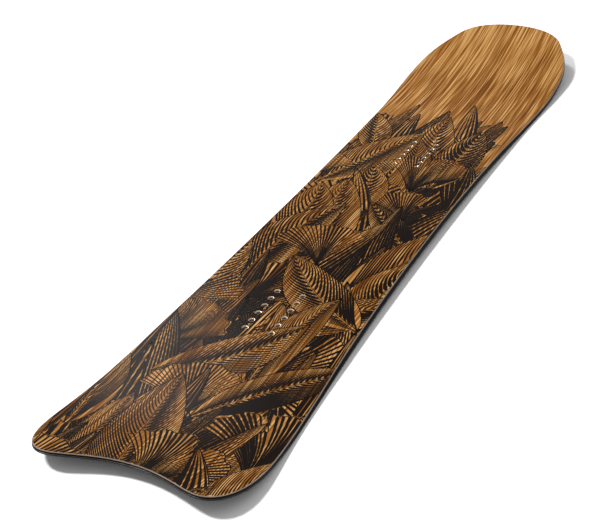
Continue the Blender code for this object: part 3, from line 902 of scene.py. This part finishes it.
def lacquered_veneer(tones):
    """Sliced hardwood veneer under satin lacquer: straight streaks of warm brown along the
    board, with thin pale flecks and dark pores between them. Both are drawn wider and
    longer than real ones, which would be too fine to show. The tone starts from a base
    that pales a little towards the tip, a painted highlight where the raised tip catches
    more light. Each width of streak adds its weight times (noise - 1/2), and flecks and
    pores add theirs times (noise - threshold) where that is above 0."""
    made, tree = material("lacquered_veneer", LACQUER)
    place = add(tree, "TexCoord").outputs["Object"]
    # The streaks sway sideways by up to 18 mm, in waves about a metre long
    sway = grained(tree, 200, 1000, 1000, detail=1.0).outputs["Color"]
    shift = add(tree, "VectorMath", {0: sway, 1: (0.018, 0.0, 0.0)}, operation="MULTIPLY")
    swayed = add(tree, "VectorMath", {0: place, 1: shift}, operation="ADD")
    along = add(tree, "SeparateXYZ", {"Vector": place}).outputs["Y"]
    # The base tone rises towards the tip: a painted highlight where the raised tip catches more
    # light
    tone = add(tree, "MapRange", {
        "Value": along, "From Min": TIP_Y - 0.204, "From Max": TIP_Y - 0.024,
        "To Min": 0.450, "To Max": 0.565})
    # Width and length in millimetres, and weight
    for width, length, weight in ((40, 1600, 0.38), (10, 900, 0.24), (3.6, 380, 0.66),
                                  (2.4, 200, 1.10), (1.4, 80, 0.92)):
        streak = add(tree, "Math", {
            0: grained(tree, width, length, 1000, 1.0, swayed), 1: 0.5}, operation="SUBTRACT")
        tone = add(tree, "Math", {0: streak, 1: weight, 2: tone}, operation="MULTIPLY_ADD")
    # Width and length in millimetres, threshold and weight
    for width, length, threshold, weight in ((1.9, 170, 0.56, 3.2), (2.0, 120, 0.60, -1.8)):
        fleck = add(tree, "Math", {
            0: grained(tree, width, length, 1000, 0.0, swayed), 1: threshold},
            operation="SUBTRACT", use_clamp=True)
        tone = add(tree, "Math", {0: fleck, 1: weight, 2: tone}, operation="MULTIPLY_ADD")
    add(tree, "ValToRGB", {"Fac": tone}, drives="Base Color", ramp=(
        (0.18, tones.veneer_dark), (0.86, tones.veneer_pale), (0.53, tones.veneer_warm)))
    add(tree, "Bump", {"Height": tone, "Distance": 0.00002, "Strength": 0.25}, drives="Normal")
    return made


def screen_ink(tones):
    """Black screen ink under the same lacquer: near black, a little uneven where the pores
    of the wood drink it. The real pores are a few times finer, too fine to show."""
    made, tree = material("screen_printed_ink", LACQUER)
    clouds = add(tree, "Math", {0: grained(tree, 30, 90, 1000), 1: 0.4}, operation="MULTIPLY")
    pores = add(tree, "Math", {0: grained(tree, 0.9, 12, 1000), 1: 0.6, 2: clouds},
                operation="MULTIPLY_ADD")
    add(tree, "ValToRGB", {"Fac": pores}, drives="Base Color",
        ramp=((0.3, scaled(tones.ink, 0.6)), (0.7, scaled(tones.ink, 1.6))))
    return made


def sanded_laminate(name, tint, roughness):
    """Glass fibre in clear epoxy, sanded or trimmed: dull and greyish, with the bundles of
    glass as fine lighter and darker dashes."""
    made, tree = material(name, {"Roughness": roughness, "Specular IOR Level": 0.15})
    add(tree, "ValToRGB", {"Fac": grained(tree, 1.0, 3.0, 0.3)}, drives="Base Color",
        ramp=((0.3, scaled(tint, 0.75)), (0.7, scaled(tint, 1.15))))
    return made


def planed_plastic(name, tint, roughness, line_length, depth):
    """Plastic planed along the board, or rubber rolled into a sheet: near black, with
    shallow lines lengthwise that break up its sheen. They are drawn several times as wide
    as real ones, which would be too fine to show."""
    made, tree = material(name, {"Specular IOR Level": 0.03})
    lines = grained(tree, 0.4, line_length, 0.4)
    add(tree, "ValToRGB", {"Fac": grained(tree, 20, 60, 20)}, drives="Base Color",
        ramp=((0.3, scaled(tint, 0.8)), (0.7, scaled(tint, 1.25))))
    add(tree, "MapRange", {"Value": lines, "To Min": roughness - 0.06,
                           "To Max": roughness + 0.08}, drives="Roughness")
    add(tree, "Bump", {"Height": lines, "Distance": depth, "Strength": 0.5}, drives="Normal")
    return made


def ground_base(tones):
    """Sintered polyethylene, stone-ground: dull black with a slight bloom of wax in cloudy
    patches, and with lengthwise grooves, drawn wider than real ones so that they show."""
    made, tree = material("stone_ground_polyethylene", {"Specular IOR Level": 0.14})
    wax = grained(tree, 50, 120, 1000, detail=3.0)
    add(tree, "ValToRGB", {"Fac": wax}, drives="Base Color",
        ramp=((0.35, tones.base), (0.75, scaled(tones.base, 1.9))))
    add(tree, "MapRange", {"Value": wax, "To Min": 0.34, "To Max": 0.5}, drives="Roughness")
    add(tree, "Bump", {"Height": grained(tree, 0.6, 50, 1000), "Distance": 0.00005,
                       "Strength": 0.6}, drives="Normal")
    return made


def ground_steel(tones):
    """Hardened carbon steel, ground lengthwise: dark metal with scratches along the edge,
    drawn wider than real ones so that they show, and darker in places."""
    made, tree = material("ground_edge_steel", {"Metallic": 1.0})
    scratches = grained(tree, 0.3, 20, 0.3)
    add(tree, "ValToRGB", {"Fac": grained(tree, 10, 50, 10)}, drives="Base Color",
        ramp=((0.3, scaled(tones.steel, 0.55)), (0.6, tones.steel)))
    add(tree, "MapRange", {"Value": scratches, "To Min": 0.25, "To Max": 0.5}, drives="Roughness")
    add(tree, "Bump", {"Height": scratches, "Distance": 0.00002, "Strength": 0.5}, drives="Normal")
    return made


def turned_stainless(name, tint):
    """Turned stainless steel: smooth and bright, with faint variation from the tool and
    handling. Its darker copy for the thread is painted shade in the bore."""
    made, tree = material(name, {"Metallic": 1.0})
    wear = grained(tree, 0.8, 0.8, 0.2)
    add(tree, "ValToRGB", {"Fac": wear}, drives="Base Color",
        ramp=((0.3, scaled(tint, 0.75)), (0.65, tint)))
    add(tree, "MapRange", {"Value": wear, "To Min": 0.12, "To Max": 0.26}, drives="Roughness")
    return made


def planed_wood(name, tint, grain_width, grain_length):
    """Planed core wood: matt, with straight grain along the board."""
    made, tree = material(name, {"Roughness": 0.62, "Specular IOR Level": 0.3})
    grain = grained(tree, grain_width, grain_length, grain_width, detail=3.0)
    add(tree, "ValToRGB", {"Fac": grain}, drives="Base Color",
        ramp=((0.3, scaled(tint, 0.65)), (0.7, scaled(tint, 1.15))))
    add(tree, "Bump", {"Height": grain, "Distance": 0.00003, "Strength": 0.4}, drives="Normal")
    return made


# Operators


def chosen(context):
    """The user's sizes and colours, and the half plan at their row step."""
    sizes = context.scene.snowboard_sizes
    return sizes, context.scene.snowboard_colours, half_plan(sizes.row_step)


class SNOWBOARD_OT_base(bpy.types.Operator):
    """Make the running base and the glass layer over it"""

    bl_idname = "snowboard.base"
    bl_label = "Base"

    def execute(self, context):
        sizes, tones, plan = chosen(context)
        glue = sizes.glue_line
        for name, inset, low, high, slot, node, finish in (
                ("running_base", EDGE_WIDTH, 0.0, LAMINATE_FLOOR,
                 "sintered_base", "base_sheet", ground_base(tones)),
                ("lower_laminate", FLANGE_INSET, LAMINATE_FLOOR, CORE_FLOOR,
                 "glass_laminate", "lower_glass",
                 sanded_laminate("pressed_glass_epoxy", tones.glass, roughness=0.35))):
            mesh = layer(name, plan, [(inset + glue, at(low)), (inset + glue, at(high - glue))])
            piece(mesh, slot, [node], finish)
        return {"FINISHED"}


class SNOWBOARD_OT_core(bpy.types.Operator):
    """Make the wood strips of the core and the plastic spacers at its ends"""

    bl_idname = "snowboard.core"
    bl_label = "Core"

    def execute(self, context):
        sizes, tones, plan = chosen(context)
        glue = sizes.glue_line
        roof = under_deck(UPPER_GLASS_DEPTH + glue)
        woods = (("core_beech", planed_wood("planed_beech", tones.beech,
                                            grain_width=2.5, grain_length=50)),
                 ("core_poplar", planed_wood("planed_poplar", tones.poplar,
                                             grain_width=5, grain_length=200)))
        step = (WAIST_WIDTH / 2 - CORE_INSET - ROW_SPACING) / (STRIPS_PER_SIDE - 1)
        edges = [0.0] + [ROW_SPACING + step * k for k in range(STRIPS_PER_SIDE)]
        side_line, = beside_core(plan[0], [SIDEWALL_INSET + glue])
        for number in range(STRIPS_PER_SIDE):
            inner, outer = side_line.copy(), side_line.copy()
            inner[:, 0] = edges[number] + glue / 2
            if number < STRIPS_PER_SIDE - 1:
                outer[:, 0] = edges[number + 1] - glue / 2
            slot, wood = woods[number % 2]
            for side, word in SIDES:
                mesh = strip(f"wood_strip_{word}_{number + 1}", [inner, outer, outer, inner],
                             [at(CORE_FLOOR), at(CORE_FLOOR), roof, roof], side)
                made = piece(mesh, slot, [f"core_strip_{word}_{number + 1}"], wood)
                if number == 0:
                    cut_holes(made, INSERT_BARREL / 2 + glue, 2 * MIDDLE_THICKNESS)
                    cut_holes(made, INSERT_FLANGE / 2 + glue,
                              CORE_FLOOR + INSERT_FLANGE_THICKNESS + glue)
        plastic = planed_plastic("planed_spacer_abs", tones.sidewall,
                                 roughness=0.42, line_length=30, depth=0.00002)
        for name, at_nose in (("nose_spacer", True), ("tail_spacer", False)):
            mesh = self.spacer(name + "_abs", plan, roof, glue, at_nose)
            piece(mesh, "spacer_plastic", [name], plastic)
        return {"FINISHED"}

    @staticmethod
    def spacer(name, plan, roof, glue, at_nose):
        """The plastic past one end of the core: a layer cut straight across the board, with
        the plan's rows past the cut and one row on it."""
        flank, notch = plan
        clear = 0.002
        cut = CORE_NOSE_Y + glue if at_nose else CORE_TAIL_Y - glue
        keep = flank[:, 1] > cut + clear if at_nose else flank[:, 1] < cut - clear
        order = slice(None) if at_nose else slice(None, None, -1)
        grids, ends, spines, rims = [], [], [], []
        for height in (at(CORE_FLOOR), roof):
            spine, rim = spine_and_rim(plan, wall_inset(height))
            end_rim = [[np.interp(-cut, -rim[:, 1], rim[:, 0]), cut]]
            spine = np.vstack(([spine[keep], [[0.0, cut]]])[order])
            rim = np.vstack(([rim[keep], end_rim])[order])
            grids.append((across(spine, rim, height), 0))
            ends.append(grids[-1][0][-1 if at_nose else 0])
            spines.append(raised(spine, height))
            rims.append(raised(rim, height))
        grids += [(np.stack(rims, 1), 0), (np.stack(ends, 1), 0)]
        if not at_nose:
            grids.append((np.stack(spines, 1)[-len(notch):], 0))
        return joined(name, mirrored(grids))


class SNOWBOARD_OT_sides(bpy.types.Operator):
    """Make the steel edges, the damping foils and the sidewalls"""

    bl_idname = "snowboard.sides"
    bl_label = "Sides"

    def execute(self, context):
        sizes, tones, plan = chosen(context)
        glue = sizes.glue_line
        top, foil_top = CORE_FLOOR - glue, SIDEWALL_FLOOR - glue
        roof = under_deck(UPPER_GLASS_DEPTH + glue)
        edge = [(EDGE_BREAK, at(0.0)), (EDGE_WIDTH, at(0.0)), (EDGE_WIDTH, at(LAMINATE_FLOOR)),
                (FLANGE_INSET, at(LAMINATE_FLOOR)), (FLANGE_INSET, at(top)),
                (SIDEWALL_SETBACK, at(top)), (0.0, at(EDGE_HEIGHT)), (0.0, at(EDGE_BREAK))]
        foil = [(SIDEWALL_SETBACK, at(CORE_FLOOR)), (SIDEWALL_INSET, at(CORE_FLOOR)),
                (SIDEWALL_INSET, at(foil_top)), (SIDEWALL_SETBACK, at(foil_top))]
        wall = [(wall_inset(at(SIDEWALL_FLOOR)), at(SIDEWALL_FLOOR)),
                (SIDEWALL_INSET, at(SIDEWALL_FLOOR)), (SIDEWALL_INSET, roof),
                (wall_inset(roof), roof)]
        parts = (("ground_edge", edge, "edge_steel", "steel_edge", ground_steel(tones)),
                 ("rubber_foil", foil, "damping_rubber", "damping_foil",
                  planed_plastic("calendered_rubber", tones.rubber,
                                 roughness=0.7, line_length=4, depth=0.00001)),
                 ("planed_sidewall", wall, "sidewall_plastic", "sidewall",
                  planed_plastic("planed_sidewall_abs", tones.sidewall,
                                 roughness=0.38, line_length=30, depth=0.00002)))
        for side, word in SIDES:
            for name, section, slot, node, finish in parts:
                insets, heights = zip(*section)
                if section is edge:
                    lines = [round_board(plan, inset, glue) for inset in insets]
                else:
                    lines = beside_core(plan[0], insets)
                mesh = strip(f"{name}_{word}", lines, heights, side)
                piece(mesh, slot, [f"{node}_{word}"], finish)
        return {"FINISHED"}


class SNOWBOARD_OT_deck(bpy.types.Operator):
    """Make the upper glass layer and the veneered topsheet with its pale bevelled rim"""

    bl_idname = "snowboard.deck"
    bl_label = "Deck"

    def execute(self, context):
        sizes, tones, plan = chosen(context)
        glue = sizes.glue_line
        floor = under_deck(UPPER_GLASS_DEPTH)
        roof = under_deck(TOPSHEET_THICKNESS + glue)
        mesh = layer("upper_laminate", plan,
                     [(wall_inset(floor), floor), (wall_inset(roof), roof)])
        glass = piece(mesh, "glass_laminate", ["upper_glass"],
                      sanded_laminate("trimmed_glass_epoxy", tones.glass, roughness=0.4))
        low, foot = under_deck(TOPSHEET_THICKNESS), under_deck(sizes.rim_drop)
        rim = wall_inset(thickness)
        mesh = layer("veneer_deck", plan, [
            (wall_inset(low), low), (wall_inset(foot), foot),
            (lambda y: rim(y) + sizes.rim_width, thickness)], columns=8, slots=[1, 1])
        deck = piece(mesh, "lacquered_veneer", ["topsheet"], lacquered_veneer(tones),
                     sanded_laminate("sanded_rim_laminate", tones.rim, roughness=0.45))
        for made in (glass, deck):
            cut_holes(made, INSERT_BARREL / 2 + glue, 2 * MIDDLE_THICKNESS)
        return {"FINISHED"}


class SNOWBOARD_OT_inserts(bpy.types.Operator):
    """Make the 24 threaded inserts"""

    bl_idname = "snowboard.inserts"
    bl_label = "Inserts"

    def execute(self, context):
        sizes, tones, _ = chosen(context)
        steel = turned_stainless("turned_stainless_steel", tones.stainless)
        # The thread takes a darker copy of the steel: painted shade in the bore
        bore_shade = turned_stainless("stainless_thread_painted_shade", tones.thread)
        grids = self.insert(sizes)
        for name, place in insert_places():
            mesh = joined(name + "_m6", [(placed(grid, place), slot)
                                         for slot, grid in enumerate(grids)])
            piece(mesh, "insert_steel", [name], steel, bore_shade)
        return {"FINISHED"}

    @staticmethod
    def insert(sizes):
        """A flanged sleeve turned from its profile, with a countersink at its mouth, and its
        thread: levels a quarter of a pitch apart whose heights climb by one pitch a turn,
        with a radius that goes from crest to root and back in each pitch and fades out at
        both ends."""
        flange, barrel = INSERT_FLANGE / 2, INSERT_BARREL / 2
        foot, mouth = CORE_FLOOR, MIDDLE_THICKNESS - INSERT_RECESS
        shelf, top = foot + INSERT_FLANGE_THICKNESS, mouth - COUNTERSINK_DEPTH
        sleeve = [(THREAD_RADIUS, foot), (flange, foot), (flange, shelf), (barrel, shelf),
                  (barrel, mouth - EDGE_BREAK), (barrel - EDGE_BREAK, mouth),
                  (COUNTERSINK_RADIUS, mouth - COUNTERSINK_LIP), (THREAD_RADIUS, top)]
        pitch = sizes.thread_pitch
        level = np.arange(foot - pitch, top + pitch, pitch / 4)[None]
        turn = np.linspace(0, 1, INSERT_SIDES + 1)[:, None]
        z = np.clip(level + pitch * turn, foot, top)
        wave = np.abs((np.arange(level.size) % 4) / 2 - 1)[None]
        fade = np.clip(np.minimum(z - foot, top - z) / (pitch / 2), 0, 1)
        r = THREAD_RADIUS - sizes.thread_depth * wave * fade
        angle = 2 * math.pi * turn
        thread = np.stack([r * np.cos(angle), r * np.sin(angle), z], -1)
        return [turned_grid(sleeve, INSERT_SIDES), thread]


class SNOWBOARD_OT_print(bpy.types.Operator):
    """Print the leaves on the deck as a film of ink"""

    bl_idname = "snowboard.print"
    bl_label = "Print"

    def execute(self, context):
        sizes, tones, plan = chosen(context)
        settings = context.scene.snowboard_print
        rim = wall_inset(thickness)
        faces, keep = inked(plan, settings,
                            lambda y: rim(y) + sizes.rim_width + settings.margin)
        ink = screen_ink(tones)
        # Outer face of the film, whose inner one clears the deck by a third of it
        top = settings.film * 4 / 3
        # Four pieces with the same number of faces, from the tail to the nose
        middle = faces[:, 0, 1]
        bounds = np.quantile(middle, (0, 1 / 4, 1 / 2, 3 / 4, 1))
        bounds[-1] = TIP_Y
        for number, (low, high) in enumerate(zip(bounds, bounds[1:])):
            here = (middle >= low) & (middle < high)
            kept = keep[here]
            points = raised(faces[here][kept], lambda y: thickness(y) + top)
            mesh = polygons(f"leaf_print_{number + 1}", points, np.arange(len(points)),
                            kept.sum(1))
            weld(mesh, closed=False)
            film = piece(mesh, "lacquered_veneer", [], ink)
            mesh.shade_flat()
            solid = film.modifiers.new("film", "SOLIDIFY")
            solid.thickness, solid.offset = settings.film, -1.0
        return {"FINISHED"}


class SNOWBOARD_OT_stage(bpy.types.Operator):
    """Make the floor, the lights and the camera"""

    bl_idname = "snowboard.stage"
    bl_label = "Stage"

    def execute(self, context):
        scene = context.scene
        studio = scene.snowboard_studio
        scene.view_settings.view_transform = "Standard"
        self.floor(studio)
        self.surroundings(scene, studio)
        self.softbox("key", studio.key_power, studio.key_size, KEY_PLACE)
        self.softbox("back", studio.back_power, studio.back_size, BACK_PLACE)
        lens = bpy.data.cameras.new("camera")
        lens.lens, lens.sensor_width, lens.sensor_fit = FOCAL_LENGTH, SENSOR_WIDTH, "HORIZONTAL"
        camera = linked("camera", lens)
        camera.location = CAMERA_PLACE
        camera.rotation_euler = [math.radians(turn) for turn in CAMERA_TURN]
        scene.camera = camera
        return {"FINISHED"}

    @staticmethod
    def floor(studio):
        """A wide pale floor that looks white to the camera, keeps the board's shadow and
        turns into a white glow far from it."""
        ends = (-FLOOR_HALF, FLOOR_HALF)
        mesh = joined("floor", [(np.array([[(x, y, 0.0) for x in ends] for y in ends]), 0)])
        if mesh.polygons[0].normal.z < 0:
            mesh.flip_normals()
        made = bpy.data.materials.new("matt_white_paper")
        made.use_nodes = True
        tree = made.node_tree
        tree.nodes.clear()
        camera = add(tree, "LightPath").outputs["Is Camera Ray"]
        boost = studio.floor_boost - FLOOR_REFLECTANCE
        seen = add(tree, "Math", {0: camera, 1: boost, 2: FLOOR_REFLECTANCE},
                   operation="MULTIPLY_ADD")
        paper = add(tree, "BsdfDiffuse", {"Color": seen})
        glow = add(tree, "Emission", {"Color": WHITE, "Strength": 1.0})
        place = add(tree, "TexCoord").outputs["Object"]
        far = add(tree, "VectorMath", {0: place}, operation="LENGTH")
        share = add(tree, "MapRange", {
            "Value": far.outputs["Value"], "From Min": WHITE_FROM, "From Max": WHITE_PAST})
        share = add(tree, "Math", {0: share, 1: camera}, operation="MULTIPLY")
        mixed = add(tree, "MixShader", {0: share, 1: paper, 2: glow})
        add(tree, "OutputMaterial", {"Surface": mixed})
        mesh.materials.append(made)
        linked("floor", mesh)

    @staticmethod
    def surroundings(scene, studio):
        """White for what the camera, gloss and glass see, and a plain fill for the rest."""
        world = bpy.data.worlds.new("studio")
        scene.world = world
        world.use_nodes = True
        tree = world.node_tree
        tree.nodes.clear()
        path = add(tree, "LightPath")
        seen = path.outputs["Is Camera Ray"]
        for name in ("Is Glossy Ray", "Is Transmission Ray"):
            seen = add(tree, "Math", {0: seen, 1: path.outputs[name]}, operation="MAXIMUM")
        fill, white = (add(tree, "Background", {"Color": WHITE, "Strength": strength})
                       for strength in (studio.fill, 1.0))
        mixed = add(tree, "MixShader", {0: seen, 1: fill, 2: white})
        add(tree, "OutputWorld", {"Surface": mixed})

    @staticmethod
    def softbox(name, power, side, place):
        """A square softbox aimed at the middle of the board."""
        lamp = bpy.data.lights.new(name, "AREA")
        lamp.energy, lamp.shape, lamp.size = power, "SQUARE", side
        made = linked(name, lamp)
        made.location = place
        made.rotation_euler = (-made.location).to_track_quat("-Z", "Y").to_euler()


OPERATORS = (SNOWBOARD_OT_stage, SNOWBOARD_OT_base, SNOWBOARD_OT_core, SNOWBOARD_OT_sides,
             SNOWBOARD_OT_deck, SNOWBOARD_OT_inserts, SNOWBOARD_OT_print)
GROUPS = {"snowboard_sizes": SnowboardSizes, "snowboard_print": SnowboardPrint,
          "snowboard_colours": SnowboardColours, "snowboard_studio": SnowboardStudio}


class SNOWBOARD_PT_sidebar(bpy.types.Panel):
    """Settings and operators of the snowboard"""

    bl_idname = "SNOWBOARD_PT_sidebar"
    bl_label = "Snowboard"
    bl_space_type = "VIEW_3D"
    bl_region_type = "UI"
    bl_category = "Snowboard"

    def draw(self, context):
        for name, group in GROUPS.items():
            box = self.layout.box()
            for setting in group.__annotations__:
                box.prop(getattr(context.scene, name), setting)
        for operator in OPERATORS:
            self.layout.operator(operator.bl_idname)


CLASSES = (*GROUPS.values(), *OPERATORS, SNOWBOARD_PT_sidebar)


def register():
    """Add the classes, and a place for the settings on every scene."""
    for one in CLASSES:
        bpy.utils.register_class(one)
    for name, group in GROUPS.items():
        setattr(bpy.types.Scene, name, PointerProperty(type=group))


def unregister():
    """Take back what register added."""
    for name in GROUPS:
        delattr(bpy.types.Scene, name)
    for one in reversed(CLASSES):
        bpy.utils.unregister_class(one)


def main():
    """Add the classes, and dress the board."""
    register()
    for operator in OPERATORS:
        getattr(bpy.ops.snowboard, operator.bl_idname.split(".")[1])()


if __name__ == "__main__":
    main()
